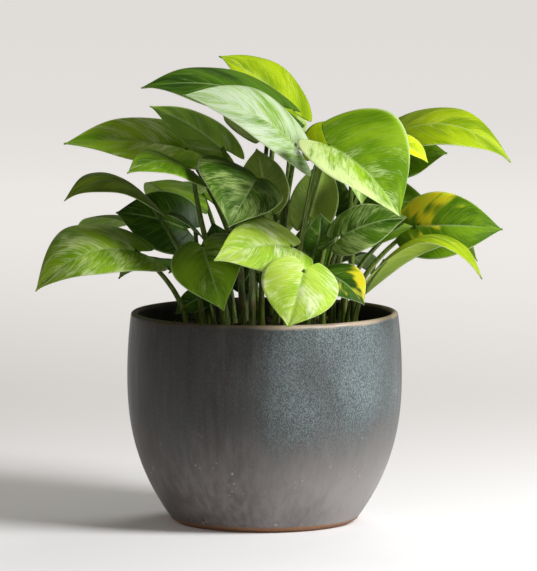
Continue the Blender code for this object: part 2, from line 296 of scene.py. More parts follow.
lip_height = POT_HEIGHT - LIP_ROUND
lip_centre = pot_radius(lip_height) - LIP_ROUND
pot_profile = [(0, POT_FLOOR), (FLAT_MIDDLE, POT_FLOOR)]
for row in range(WALL_ROWS + 1):
    height = POT_FLOOR + (lip_height - POT_FLOOR) * row / WALL_ROWS
    pot_profile.append((pot_radius(height) - WALL, height))
for row in range(1, LIP_ROWS):
    turn = math.pi * (1 - row / LIP_ROWS)
    across_lip = LIP_ROUND * math.cos(turn)
    pot_profile.append((lip_centre + across_lip, lip_height + LIP_ROUND * math.sin(turn)))
for row in range(WALL_ROWS + 1):
    height = lip_height + (GLAZE_EDGE - lip_height) * row / WALL_ROWS
    pot_profile.append((pot_radius(height), height))
pot_profile += [
    (pot_radius(GLAZE_EDGE) - GLAZE_STEP * 0.4, GLAZE_EDGE - 0.5),
    (pot_radius(GLAZE_EDGE) - GLAZE_STEP, GLAZE_EDGE - 0.7),
    (pot_radius(FOOT_CHAMFER) - GLAZE_STEP, FOOT_CHAMFER),
    (pot_radius(0) - FOOT_CHAMFER * 0.45, FOOT_CHAMFER * 0.45),
    (pot_radius(0) - FOOT_CHAMFER, 0),
    (FLAT_MIDDLE, 0),
    (0, 0),
]
pot_bm = turned(pot_profile, POT_STEPS)

glaze, glaze_tree, glaze_shader = new_material("stoneware_glaze")
place = object_place(glaze_tree)
east, north, up = split(glaze_tree, place)
# how far round towards the front right a spot is, about -1 to 1, and how high in metres
round_to_right = plus(glaze_tree, times(glaze_tree, east, 8.2), times(glaze_tree, north, -7.6))
drift = mottle(glaze_tree, stretch(glaze_tree, place, (1.0, 1.0, 0.45)), 28.0, 3.0)
drift_low = calc(glaze_tree, "SUBTRACT", drift, 0.5)
height_here = plus(glaze_tree, up, times(glaze_tree, drift_low, 0.05))
side_here = plus(glaze_tree, round_to_right, times(glaze_tree, drift_low, 0.9))
high_up = rise(glaze_tree, height_here, 0.045, 0.092)
speckled = times(glaze_tree, high_up, rise(glaze_tree, side_here, 0.50, 1.25))
# the broken glaze: fine worm-like specks, a little taller than wide
specks = mottle(glaze_tree, stretch(glaze_tree, place, (1.0, 1.0, 0.66)), 1300.0, 2.0, 0.6)
speck_share = rise(glaze_tree, specks, 0.42, 0.6)
# runs: soft upright streaks where the glaze flowed
runs = mottle(glaze_tree, stretch(glaze_tree, place, (1.0, 1.0, 0.07)), 210.0, 4.0, 0.6)
run_share = rise(glaze_tree, runs, 0.32, 0.68)
broad_runs = mottle(glaze_tree, stretch(glaze_tree, place, (1.0, 1.0, 0.12)), 45.0, 2.0)
smooth_glaze = blend_colours(glaze_tree, run_share, *SMOOTH_GLAZE)
run_tint = rise(glaze_tree, broad_runs, 0.4, 0.62, 0.0, 0.55)
smooth_glaze = blend_colours(glaze_tree, run_tint, smooth_glaze, RUN_TEAL)
# lower down the glaze is thinner, and greyer with the clay's iron showing through
low_share = rise(glaze_tree, height_here, 0.085, 0.02)
low_glaze = blend_colours(glaze_tree, run_share, *THIN_GLAZE)
# painted light: low on the right the glaze is drawn towards a light grey where the light falls
low_painted_light = rise(glaze_tree, side_here, 0.2, 1.2, 0.0, 0.7)
low_glaze = blend_colours(glaze_tree, low_painted_light, low_glaze, THIN_GLAZE_PAINTED_LIGHT)
smooth_glaze = blend_colours(glaze_tree, low_share, smooth_glaze, low_glaze)
broken_glaze = blend_colours(glaze_tree, speck_share, *BROKEN_GLAZE)
broken_share = times(glaze_tree, speckled, 0.85)
glaze_colour = blend_colours(glaze_tree, broken_share, smooth_glaze, broken_glaze)
# faint speckle everywhere else, and tiny pale pinholes low down
faint = rise(glaze_tree, specks, 0.5, 0.66, 0.0, 0.12)
glaze_colour = blend_colours(glaze_tree, faint, glaze_colour, FAINT_SPECKS)
pinholes = put(glaze_tree, "ShaderNodeTexVoronoi")
feed(glaze_tree, pinholes.inputs["Vector"], place)
pinholes.inputs["Scale"].default_value = 210.0
pin_size = rise(glaze_tree, mottle(glaze_tree, place, 60.0, 2.0), 0.5, 0.75, 0.04, 0.24)
pin_share = calc(glaze_tree, "LESS_THAN", pinholes.outputs["Distance"], pin_size)
pin_share = times(glaze_tree, pin_share, rise(glaze_tree, height_here, 0.075, 0.03, 0.0, 0.55))
glaze_colour = blend_colours(glaze_tree, pin_share, glaze_colour, PINHOLE)
# the lip, where the glaze ran off and left brown, lightened on the right with a painted highlight
lip_edge = plus(glaze_tree, up, times(glaze_tree, drift_low, 0.006))
lip_share = rise(glaze_tree, lip_edge, 0.1350, 0.1376)
lip_colour = blend_colours(glaze_tree, rise(glaze_tree, side_here, 0.1, 1.0), LIP_BROWN, LIP_PAINTED_HIGHLIGHT)
glaze_colour = blend_colours(glaze_tree, lip_share, glaze_colour, lip_colour)
# bare clay under the glaze's edge
clay_edge = plus(glaze_tree, up, times(glaze_tree, drift_low, 0.0012))
clay_share = rise(glaze_tree, clay_edge, 0.0046, 0.0030)
clay_grain = mottle(glaze_tree, place, 900.0, 2.0)
clay_colour = blend_colours(glaze_tree, clay_grain, *BARE_CLAY)
glaze_colour = blend_colours(glaze_tree, clay_share, glaze_colour, clay_colour)
feed(glaze_tree, glaze_shader.inputs["Base Color"], glaze_colour)
glaze_gloss = rise(glaze_tree, runs, 0.3, 0.7, 0.34, 0.46)
glaze_roughness = plus(glaze_tree, glaze_gloss, times(glaze_tree, clay_share, 0.4))
feed(glaze_tree, glaze_shader.inputs["Roughness"], glaze_roughness)
glaze_relief = plus(glaze_tree, times(glaze_tree, specks, 0.6), times(glaze_tree, runs, 0.5))
feed(glaze_tree, glaze_shader.inputs["Normal"], dents(glaze_tree, glaze_relief, 0.28, 0.0006))

pot = add_piece("glazed_pot", pot_bm, [glaze])
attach(pot, "root")
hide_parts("pot")

# ---------------------------------------------------------------------------------------------
# The soil: a peaty potting mix that fills the pot to a finger's width below the lip, crowned a
# little in the middle, with loose crumbs and bits of bark lying on it.
# ---------------------------------------------------------------------------------------------
SOIL_HEIGHT = 125.0
SOIL_CROWN = 3.5
SOIL_ROWS = 34
SOIL_LUMPS = 1.6
SOIL_SIDE_ROWS = 11
SOIL_STEPS = 120
CRUMBS = 620
CRUMB_RADII = (0.7, 0.9, 1.1, 1.3, 1.7, 2.3)
CLEARANCE = 0.35  # between the soil and the pot
PEAT = ((0.012, 0.007, 0.005), (0.062, 0.034, 0.019))
BARK_BITS = (0.26, 0.15, 0.075)

soil_edge = pot_radius(SOIL_HEIGHT) - WALL - CLEARANCE


def soil_height(radius):
    """The soil's surface stands a little higher in the middle."""
    return SOIL_HEIGHT + SOIL_CROWN * (1 - (radius / soil_edge) ** 2)


soil_profile = []
for row in range(SOIL_ROWS + 1):
    radius = soil_edge * row / SOIL_ROWS
    soil_profile.append((radius, soil_height(radius)))
for row in range(1, SOIL_SIDE_ROWS + 1):
    height = SOIL_HEIGHT + (POT_FLOOR + 1 - SOIL_HEIGHT) * row / SOIL_SIDE_ROWS
    soil_profile.append((pot_radius(height) - WALL - 1, height))
soil_profile.append((0, POT_FLOOR + 1))
soil_bm = turned(soil_profile, SOIL_STEPS)
for vert in soil_bm.verts:
    if vert.co.z > (SOIL_HEIGHT - 1) * MM:
        spot = vert.co / MM
        lumps = noise.noise(spot * 0.11) + 0.6 * noise.noise(spot * 0.34)
        lumps += 0.35 * noise.noise(spot * 0.9)
        near_wall = max(0.0, 1 - (soil_edge - math.hypot(spot.x, spot.y)) / 4)
        vert.co.z += SOIL_LUMPS * lumps * (1 - near_wall) * MM

random.seed(7)
for _ in range(CRUMBS):
    radius = (soil_edge - 3) * math.sqrt(random.random())
    turn = random.uniform(0, math.tau)
    size = random.choice(CRUMB_RADII)
    crumb = bmesh.ops.create_icosphere(soil_bm, subdivisions=1, radius=size * MM)["verts"]
    flat = random.uniform(0.5, 1.0)
    long = random.uniform(0.8, 1.5)
    for vert in crumb:
        vert.co = Vector((vert.co.x * long, vert.co.y, vert.co.z * flat)) * random.uniform(0.75, 1.2)
        vert.co.z += (soil_height(radius) + size * 0.35 + random.uniform(0.0, 0.5)) * MM
        vert.co.x += radius * math.cos(turn) * MM
        vert.co.y += radius * math.sin(turn) * MM

peat, peat_tree, peat_shader = new_material("potting_mix")
peat_place = object_place(peat_tree)
peat_clods = mottle(peat_tree, peat_place, 260.0, 4.0, 0.65)
peat_bits = mottle(peat_tree, peat_place, 900.0, 2.0)
peat_colour = blend_colours(peat_tree, rise(peat_tree, peat_clods, 0.38, 0.64), *PEAT)
bark_share = rise(peat_tree, peat_bits, 0.66, 0.74, 0.0, 0.7)
peat_colour = blend_colours(peat_tree, bark_share, peat_colour, BARK_BITS)
feed(peat_tree, peat_shader.inputs["Base Color"], peat_colour)
feed(peat_tree, peat_shader.inputs["Roughness"], rise(peat_tree, peat_clods, 0.3, 0.7, 0.98, 0.8))
feed(peat_tree, peat_shader.inputs["Normal"], dents(peat_tree, peat_bits, 0.8, 0.0009))

soil = add_piece("potting_soil", soil_bm, [peat])
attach(soil, "root")
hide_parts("soil")

# ---------------------------------------------------------------------------------------------
# The vines: short upright stems that root in the soil and carry the upper leaves. Each is a
# round green-brown rod with a swollen joint at every place where a leaf grew.
# ---------------------------------------------------------------------------------------------
VINE_RADIUS = 2.6
VINE_SIDES = 14
VINE_RINGS = 30
VINE_JOINTS = 3
STEM_GREENS = ((0.060, 0.095, 0.018), (0.20, 0.26, 0.075))
STEM_BROWN = (0.14, 0.085, 0.035)
VINES = {
    # name: foot on the soil (x, y), top (x, y, z)
    "vine_left": ((-24, -26), (-30, -30, 176)),
    "vine_front": ((-8, -38), (-8, -44, 172)),
    "vine_right": ((12, -34), (16, -38, 180)),
    "vine_middle": ((-14, -6), (-17, -6, 196)),
    "vine_tall": ((9, 2), (12, 4, 204)),
    "vine_back_left": ((-12, 28), (-16, 34, 188)),
    "vine_back_right": ((24, 24), (30, 30, 186)),
}


def vine_centre(name, height):
    """The middle of a vine at a height: it leans from its foot to its top."""
    foot, top = VINES[name]
    foot_height = soil_height(math.hypot(*foot)) + CLEARANCE
    share = (height - foot_height) / (top[2] - foot_height)
    aside = foot[0] + (top[0] - foot[0]) * share
    return Vector((aside, foot[1] + (top[1] - foot[1]) * share, height))


def drawn_rod(bm, layers, sides, rings):
    """A round rod drawn out ring by ring. rings holds each ring's centre, sideways, forward and
    radius; both ends are closed. layers keep how far round and how far along each corner is."""
    round_layer, along_layer = layers
    start = bmesh.ops.create_circle(bm, cap_ends=True, segments=sides, radius=1.0)["verts"]
    end = start[0].link_faces[0]
    count = len(rings) - 1
    for number in range(count + 1):
        centre, sideways, forward, radius = rings[number]
        if number:
            drawn = bmesh.ops.extrude_face_region(bm, geom=[end], use_keep_orig=number == 1)
            if number > 1:
                bmesh.ops.delete(bm, geom=[end], context="FACES_ONLY")
            end = next(item for item in drawn["geom"] if isinstance(item, bmesh.types.BMFace))
        for place_in_ring, corner in enumerate(end.verts):
            turn = math.tau * place_in_ring / sides
            corner.co = (centre + (sideways * math.cos(turn) + forward * math.sin(turn)) * radius) * MM
            corner[round_layer] = abs(place_in_ring / sides * 2 - 1)
            corner[along_layer] = number / count


def ring_frames(route, side):
    """Sideways and forward directions for every ring along a route, without a twist."""
    frames = []
    for number, centre in enumerate(route):
        way = route[min(number + 1, len(route) - 1)] - route[max(number - 1, 0)]
        way.normalize()
        side = (side - way * side.dot(way)).normalized()
        frames.append((centre, side.copy(), side.cross(way)))
    return frames


def write_uv(bm, across_layer, along_layer, name):
    """Lays the two layers out as a UV map."""
    uv = bm.loops.layers.uv.new(name)
    for face in bm.faces:
        for loop in face.loops:
            loop[uv].uv = (loop.vert[across_layer], loop.vert[along_layer])


stem, stem_tree, stem_shader = new_material("vine_stem")
stem_place = object_place(stem_tree)
stem_streaks = mottle(stem_tree, stretch(stem_tree, stem_place, (1.0, 1.0, 0.12)), 700.0, 3.0)
stem_blotches = mottle(stem_tree, stem_place, 120.0, 3.0)
stem_colour = blend_colours(stem_tree, rise(stem_tree, stem_streaks, 0.35, 0.65), *STEM_GREENS)
blotch_share = rise(stem_tree, stem_blotches, 0.52, 0.68, 0.0, 0.7)
stem_colour = blend_colours(stem_tree, blotch_share, stem_colour, STEM_BROWN)
feed(stem_tree, stem_shader.inputs["Base Color"], stem_colour)
feed(stem_tree, stem_shader.inputs["Roughness"], rise(stem_tree, stem_streaks, 0.3, 0.7, 0.42, 0.58))
feed(stem_tree, stem_shader.inputs["Normal"], dents(stem_tree, stem_streaks, 0.35, 0.0005))

for vine_number, (name, (foot, top)) in enumerate(VINES.items()):
    foot_height = soil_height(math.hypot(*foot)) - 1.0
    route = []
    radii = []
    for ring in range(VINE_RINGS + 1):
        share = ring / VINE_RINGS
        route.append(vine_centre(name, foot_height + (top[2] - foot_height) * share))
        joint = (share * VINE_JOINTS + 0.31 * vine_number) % 1.0
        swelling = math.exp(-(((joint - 0.5) / 0.09) ** 2))
        radii.append(VINE_RADIUS * (1 - 0.2 * share) * (0.93 + 0.13 * swelling))
    radii[-1] *= 0.45
    radii[-2] *= 0.85
    bm = bmesh.new()
    layers = (bm.verts.layers.float.new("round"), bm.verts.layers.float.new("along"))
    frames = ring_frames(route, Vector((1, 0, 0)))
    drawn_rod(bm, layers, VINE_SIDES, [(*ring, radius) for ring, radius in zip(frames, radii)])
    bmesh.ops.recalc_face_normals(bm, faces=bm.faces)
    vine = add_piece(name.replace("vine", "stem"), bm, [stem])
    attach(vine, "root")
    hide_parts(name)

# ---------------------------------------------------------------------------------------------
# The leaves: heart-shaped blades, each grown in one piece with a round stalk that comes up from
# the soil or from a vine. The blade is a thin waxy sheet with a sunk midrib, side veins that
# sweep towards the tip, pale marbling along the veins and a thin pale margin.
# ---------------------------------------------------------------------------------------------
BLADE_COLUMNS = 28
BLADE_ROWS = 46
BLADE_THICKNESS = 0.7
RIB_THICKNESS = 1.1  # how much the midrib stands out underneath at the stalk
LOBE = 0.22
WIDEST_ROW = 0.3
LOBE_CORNER = 0.13
TIP_HALF_WIDTH = 0.22
VEINS = 9.0  # side veins on each half
VEIN_SLANT = 0.34  # how far they sweep towards the tip
STALK_SIDES = 12
STALK_RINGS = 34
STALK_TOP = 1.25
STALK_FOOT = 2.0
STALK_JOINT = 0.03  # where the stalk meets the blade, as a share of its length
GOLD = (0.66, 0.52, 0.012)
GOLD_GREEN = (0.52, 0.60, 0.02)  # where the gold runs out into the green
VEIN_GREEN = (0.36, 0.50, 0.20)
MIDRIB_GREEN = (0.36, 0.50, 0.18)
MARGIN_GREEN = (0.50, 0.60, 0.30)
STALK_GREENS = ((0.075, 0.145, 0.012), (0.13, 0.18, 0.028))  # under the blade and at the foot
STALK_STREAK = (0.024, 0.055, 0.004)
STALK_EDGE = (0.50, 0.56, 0.26)

LEAVES = []


def leaf(
    name, base, tip, face, width, arch, fold, curl, root, green, marbling,
    skew=0.0, pale_side=0.0, gold=0.0, gold_at=0.25,
):
    """One leaf. base is where its stalk meets the blade, face the way its upper side looks, width
    its full width, arch how high the midrib bows, fold the slope of the halves from the midrib,
    and curl how much the margins turn down. root is a spot on the soil, or a vine and a height on
    it. green names its greens, and marbling is the share of pale streaks. skew makes one half
    wider than the other and pale_side paler. gold is the strength of a gold patch, and gold_at
    its share of the way to the tip."""
    shape = (base, tip, face, width, arch, fold, curl, skew)
    LEAVES.append((name, shape, root, (green, marbling, pale_side, gold, gold_at)))


# Left side, from low to high
leaf("leaf_left_low", (-82, -26, 180), (-148, -46, 156), (-0.15, -0.66, 0.74), 64, 0.22, 0.05, 0.6,
     (-50, -34), "fresh", 0.42, skew=0.34)
leaf("leaf_left_middle", (-76, -6, 213), (-130, -28, 213), (-0.1, -0.3, 0.95), 50, 0.24, 0.1, 0.5,
     (-42, -10), "olive", 0.15)
leaf("leaf_left_high", (-50, 16, 243), (-131, -2, 248), (0.0, -0.62, 0.78), 46, 0.07, 0.2, 0.3,
     ("vine_middle", 178), "fresh", 0.35)
leaf("leaf_left_curled", (-46, -25, 231), (-88, -62, 234), (-0.15, -0.55, 0.82), 50, 0.16, 0.1, 0.5,
     ("vine_left", 170), "mid", 0.25)
leaf("leaf_left_inner", (-44, -12, 192), (-64, -26, 204), (-0.45, -0.5, 0.74), 26, 0.1, 0.15, 0.4,
     (-36, -8), "deep", 0.1)
leaf("leaf_left_shaded", (-52, 26, 190), (-98, 30, 200), (-0.2, -0.8, 0.5), 44, 0.12, 0.15, 0.4,
     (-34, 12), "deep", 0.1)
leaf("leaf_left_under", (-46, -34, 168), (-62, -46, 168), (-0.2, -0.5, 0.85), 20, 0.15, 0.15, 0.4,
     (-40, -38), "olive", 0.1)

# Front, around the stalks
leaf("leaf_front_upper", (-5, -42, 229), (-23, -83, 201), (0.34, -0.62, 0.64), 60, 0.14, 0.1, 0.35,
     ("vine_front", 168), "deep", 0.42, skew=0.28)
leaf("leaf_front_hanging", (-40, -50, 186), (-26, -82, 147), (-0.15, -0.85, 0.45), 48, 0.16, 0.1, 0.5,
     (-26, -44), "mid", 0.2)
leaf("leaf_front_reaching", (18, -66, 187), (-32, -96, 181), (0.05, -0.75, 0.65), 50, 0.12, 0.15, 0.5,
     (6, -54), "cream", 0.42)
leaf("leaf_front_drooping", (25, -105, 175), (15, -112, 140), (0.15, -0.85, 0.5), 50, 0.12, 0.1, 0.5,
     (20, -60), "cream", 0.36)
leaf("leaf_front_inner", (34, -30, 184), (36, -38, 206), (0.3, -0.8, 0.5), 24, 0.1, 0.15, 0.3,
     (28, -22), "deep", 0.3)
leaf("leaf_pot_edge", (-40, -20, 150), (-58, -24, 139), (-0.2, -0.8, 0.45), 18, 0.1, 0.1, 0.3,
     (-33, -20), "deep", 0.1)
leaf("leaf_inner_low", (-6, 18, 158), (-10, 22, 206), (0.0, -0.95, 0.3), 46, 0.08, 0.2, 0.3,
     (-4, 12), "deep", 0.15)
leaf("leaf_inner_right", (30, 16, 166), (36, 24, 200), (0.1, -0.95, 0.3), 30, 0.08, 0.2, 0.3,
     (20, 12), "deep", 0.15)
leaf("leaf_inner_left", (-24, 8, 160), (-34, 8, 196), (-0.1, -0.95, 0.3), 34, 0.08, 0.2, 0.3,
     (-20, 4), "deep", 0.1)

# Top
leaf("leaf_top_pale", (21, -38, 249), (-52, -60, 284), (0.1, -0.66, 0.75), 47, 0.13, 0.05, 0.35,
     ("vine_tall", 186), "mint", 0.6, skew=0.18)
leaf("leaf_top_long", (8, 2, 274), (-80, -20, 286), (0.0, -0.5, 0.87), 58, 0.1, 0.1, 0.5,
     ("vine_tall", 198), "deep", 0.12)
leaf("leaf_top_under", (-26, -16, 246), (-74, -34, 275), (-0.5, 0.35, 0.8), 30, 0.08, 0.1, 0.4,
     ("vine_middle", 190), "mid", 0.3)
leaf("leaf_top_bright", (20, 37, 266), (-30, 34, 303), (0.3, -0.5, 0.82), 56, 0.08, 0.15, 0.3,
     ("vine_tall", 184), "lime_painted_backlight", 0.3)
leaf("leaf_top_back", (38, 31, 238), (66, 50, 255), (-0.15, -0.7, 0.7), 45, 0.12, 0.15, 0.3,
     ("vine_back_right", 180), "lime_painted_backlight", 0.15)
leaf("leaf_top_inner", (1, -17, 212), (-5, -29, 247), (0.2, 0.75, 0.6), 34, 0.08, 0.1, 0.3,
     (-2, -14), "olive", 0.1)
leaf("leaf_middle_inner", (29, -22, 200), (40, -15, 240), (0.3, 0.75, 0.55), 32, 0.06, 0.1, 0.3,
     (22, -14), "olive", 0.1)

# Right side, from high to low
leaf("leaf_right_big", (41, -58, 252), (87, -76, 207), (0.37, -0.81, 0.62), 72, 0.12, 0.6, 0.2,
     ("vine_right", 160), "fresh", 0.4, pale_side=1.1)
leaf("leaf_right_high", (84, 12, 254), (161, 0, 236), (0.15, -0.5, 0.85), 50, 0.22, 0.1, 0.4,
     (38, 6), "lime_painted_backlight", 0.3)
leaf("leaf_right_dark", (78, 20, 234), (120, 22, 240), (-0.1, -0.7, 0.7), 38, 0.1, 0.15, 0.4,
     (44, 16), "mid", 0.1)
leaf("leaf_right_young", (86, -22, 252), (106, -28, 238), (0.5, -0.7, 0.5), 16, 0.1, 0.2, 0.2,
     (44, -10), "young", 0.2)
leaf("leaf_right_behind", (68, 24, 202), (108, 18, 208), (0.0, -0.8, 0.6), 44, 0.12, 0.15, 0.4,
     (52, 6), "mid", 0.15)
leaf("leaf_right_yellow", (98, -4, 194), (155, -14, 193), (0.1, -0.92, 0.35), 46, 0.1, 0.15, 0.3,
     (54, -8), "mid", 0.05, gold=1.0, gold_at=0.15)
leaf("leaf_right_arched", (76, -44, 174), (140, -66, 166), (0.0, -0.1, 1.0), 52, 0.34, 0.05, 0.7,
     (58, -30), "lime_painted_backlight", 0.25, skew=-0.35)
leaf("leaf_right_level", (50, -46, 192), (92, -46, 204), (-0.1, -0.75, 0.66), 36, 0.1, 0.15, 0.4,
     (38, -20), "deep", 0.4)
leaf("leaf_right_low", (38, -66, 170), (64, -84, 151), (0.2, -0.6, 0.75), 38, 0.14, 0.15, 0.4,
     (38, -50), "deep", 0.15, gold=1.0, gold_at=0.7)
leaf("leaf_right_upright", (44, 4, 204), (44, -2, 232), (-0.2, -0.9, 0.3), 28, 0.08, 0.2, 0.3,
     (31, -3), "deep", 0.3)
leaf("leaf_right_narrow", (60, -28, 232), (63, -36, 211), (0.3, -0.85, 0.3), 16, 0.08, 0.3, 0.2,
     (58, -18), "fresh", 0.5)

# Back
leaf("leaf_back_left", (-72, 48, 188), (-130, 82, 170), (-0.3, 0.4, 0.87), 58, 0.2, 0.15, 0.5,
     (-42, 24), "mid", 0.3)
leaf("leaf_back_left_far", (-40, 64, 208), (-78, 128, 190), (-0.2, 0.5, 0.85), 54, 0.2, 0.15, 0.5,
     (-24, 42), "fresh", 0.35)
leaf("leaf_back_middle", (8, 66, 198), (14, 138, 172), (0.05, 0.5, 0.87), 54, 0.2, 0.15, 0.5,
     (4, 46), "mid", 0.45)
leaf("leaf_back_right", (54, 60, 206), (98, 112, 186), (0.25, 0.45, 0.87), 54, 0.2, 0.15, 0.5,
     (34, 42), "mid", 0.25)
leaf("leaf_back_right_far", (82, 42, 186), (142, 72, 164), (0.35, 0.3, 0.87), 56, 0.2, 0.15, 0.5,
     (50, 26), "fresh", 0.3)
leaf("leaf_back_upper_left", (-46, 48, 246), (-94, 88, 246), (-0.3, 0.3, 0.9), 52, 0.16, 0.15, 0.4,
     ("vine_back_left", 182), "mid", 0.4)
leaf("leaf_back_upper", (2, 48, 254), (-6, 106, 256), (0.0, 0.4, 0.92), 56, 0.16, 0.15, 0.4,
     ("vine_back_left", 166), "fresh", 0.5)
leaf("leaf_back_upper_right", (54, 54, 246), (96, 92, 238), (0.3, 0.35, 0.88), 50, 0.16, 0.15, 0.4,
     ("vine_back_right", 164), "mid", 0.2)
leaf("leaf_back_low", (-14, 62, 166), (-30, 116, 152), (-0.1, 0.6, 0.8), 46, 0.16, 0.15, 0.4,
     (-8, 52), "deep", 0.3)
leaf("leaf_back_low_right", (40, 60, 166), (74, 104, 150), (0.3, 0.5, 0.8), 44, 0.16, 0.15, 0.4,
     (28, 54), "deep", 0.25, gold=0.8)
leaf("leaf_back_low_left", (-56, 52, 162), (-98, 92, 150), (-0.3, 0.5, 0.8), 44, 0.16, 0.15, 0.4,
     (-44, 40), "deep", 0.2)


def outline(along):
    """The blade's half width at a share of its length, as a share of the widest: round lobes by the
    stalk, broad, then drawn out to a point."""
    if along >= WIDEST_ROW:
        past = (along - WIDEST_ROW) / (1 - WIDEST_ROW)
        return max(0.0, 1 - past**2) ** 1.25
    broad = 1 - 0.45 * ((WIDEST_ROW - along) / WIDEST_ROW) ** 2.2
    corner = max(0.0, 1 - along / LOBE_CORNER)
    return broad - 0.24 * (1 - math.sqrt(1 - corner**2))


class Blade:
    """The curved upper surface of one leaf, in millimetres."""

    def __init__(self, number, base, tip, face, width, arch, fold, curl, skew):
        self.base = Vector(base)
        self.chord = Vector(tip) - self.base
        self.length = self.chord.length
        self.ahead = self.chord.normalized()
        face = Vector(face)
        self.up = (face - self.ahead * face.dot(self.ahead)).normalized()
        self.side = self.ahead.cross(self.up)
        self.width = width
        self.arch = arch
        self.fold = fold
        self.curl = curl
        self.skew = skew
        self.phase = number * 2.4

    def point(self, along, across):
        """A spot on the surface: along from 0 at the stalk to 1 at the tip, across from -1 to 1."""
        off = abs(across)
        back = LOBE * (1 - along) ** 3 * off * (1.6 - 0.6 * off)
        along_here = along - back
        half = self.width / 2 * (1 + self.skew * math.copysign(1, across))
        reach = max(TIP_HALF_WIDTH, outline(along) * half) * across
        bow = 4 * self.arch * self.length * along_here * (1 - along_here)
        slope = self.fold * abs(reach) - self.curl * reach**2 / self.width
        place = self.base + self.chord * along_here + self.side * reach
        return place + self.up * (bow + slope + self.relief(along, off, across, reach))

    def relief(self, along, off, across, reach):
        """The sunk midrib, the quilting between the side veins and the wavy margin."""
        groove = -0.55 * math.exp(-((reach / 1.3) ** 2)) * (1 - along**2)
        vein = (along - VEIN_SLANT * off) * VEINS + self.phase
        quilting = -0.16 * max(0.0, math.cos(math.tau * vein)) ** 6 * min(1.0, off * 8) * (1 - off**4)
        ripple = 0.013 * self.width * off**3 * math.sin(along * 13 + self.phase + across)
        uneven = 0.012 * self.width * noise.noise(Vector((along * 3, across * 1.6, self.phase)))
        return groove + quilting + ripple * (1 - along**3) + uneven * min(1.0, off * 3)


def stalk_route(blade, root):
    """Points down the stalk, from under the blade to its foot on the soil or on a vine."""
    start = blade.base + blade.chord * STALK_JOINT - blade.up * (BLADE_THICKNESS * 0.9)
    start += blade.up * 4 * blade.arch * blade.length * STALK_JOINT * (1 - STALK_JOINT)
    leave = (-blade.ahead * 0.55 - blade.up * 0.85).normalized()
    if isinstance(root[0], str):
        name, height = root
        centre = vine_centre(name, height)
        out = Vector((start.x - centre.x, start.y - centre.y, 0)).normalized()
        foot = centre + out * (VINE_RADIUS + 1.0)
        climb = Vector((out.x * 0.35, out.y * 0.35, 1)).normalized()
    else:
        foot = Vector((root[0], root[1], soil_height(math.hypot(*root)) - 0.5))
        climb = Vector((0, 0, 1))
    reach = (start - foot).length
    second = start + leave * reach * 0.22
    third = foot + climb * reach * 0.45
    route = []
    for ring in range(STALK_RINGS + 1):
        share = ring / STALK_RINGS
        rest = 1 - share
        route.append(
            start * rest**3 + second * 3 * rest**2 * share + third * 3 * rest * share**2 + foot * share**3
        )
    return route


def stalk_radius(share):
    """Swollen under the blade, slender below it, and thickening to a sheath at the foot."""
    swelling = 0.4 * math.exp(-((share / 0.07) ** 2))
    sheath = 0.35 * max(0.0, share - 0.75) / 0.25
    return STALK_TOP + (STALK_FOOT - STALK_TOP) * share + swelling + sheath


def make_leaf(blade, root):
    """The blade is a grid curved over its surface and drawn down to its thickness, and the stalk a
    rod that starts just under it."""
    bm = bmesh.new()
    across_layer = bm.verts.layers.float.new("across")
    along_layer = bm.verts.layers.float.new("along")
    bmesh.ops.create_grid(bm, x_segments=BLADE_COLUMNS, y_segments=BLADE_ROWS, size=1.0)
    for vert in bm.verts:
        across = math.copysign(abs(vert.co.x) ** 1.25, vert.co.x)
        along = (1 - math.cos(math.pi * (vert.co.y + 1) / 2)) / 2
        vert[across_layer] = across
        vert[along_layer] = along
        vert.co = blade.point(along, across) * MM
    bm.normal_update()
    upper = bm.faces[:]
    if upper[len(upper) // 2].normal.dot(blade.up) < 0:
        bmesh.ops.reverse_faces(bm, faces=upper)
        bm.normal_update()
    for face in upper:
        face.material_index = 0
    drawn = bmesh.ops.extrude_face_region(bm, geom=upper, use_keep_orig=True)
    lower_faces = [item for item in drawn["geom"] if isinstance(item, bmesh.types.BMFace)]
    lower_verts = [item for item in drawn["geom"] if isinstance(item, bmesh.types.BMVert)]
    depths = {}
    for vert in lower_verts:
        across = vert[across_layer]
        along = vert[along_layer]
        rib = RIB_THICKNESS * (1 - along) * math.exp(-((across * blade.width / 2 / 1.6) ** 2))
        edge = 1 - 0.55 * abs(across) ** 6
        depths[vert] = vert.normal * (BLADE_THICKNESS * edge + rib) * MM
    for vert, depth in depths.items():
        vert.co -= depth
    for face in lower_faces:
        face.material_index = 1
    bmesh.ops.recalc_face_normals(bm, faces=bm.faces)
    blade_faces = set(bm.faces)
    frames = ring_frames(stalk_route(blade, root), blade.side.copy())
    rings = [(*ring, stalk_radius(number / STALK_RINGS)) for number, ring in enumerate(frames)]
    drawn_rod(bm, (across_layer, along_layer), STALK_SIDES, rings)
    stalk_faces = [face for face in bm.faces if face not in blade_faces]
    for face in stalk_faces:
        face.material_index = 2
    bmesh.ops.recalc_face_normals(bm, faces=stalk_faces)
    write_uv(bm, across_layer, along_layer, "blade")
    return bm


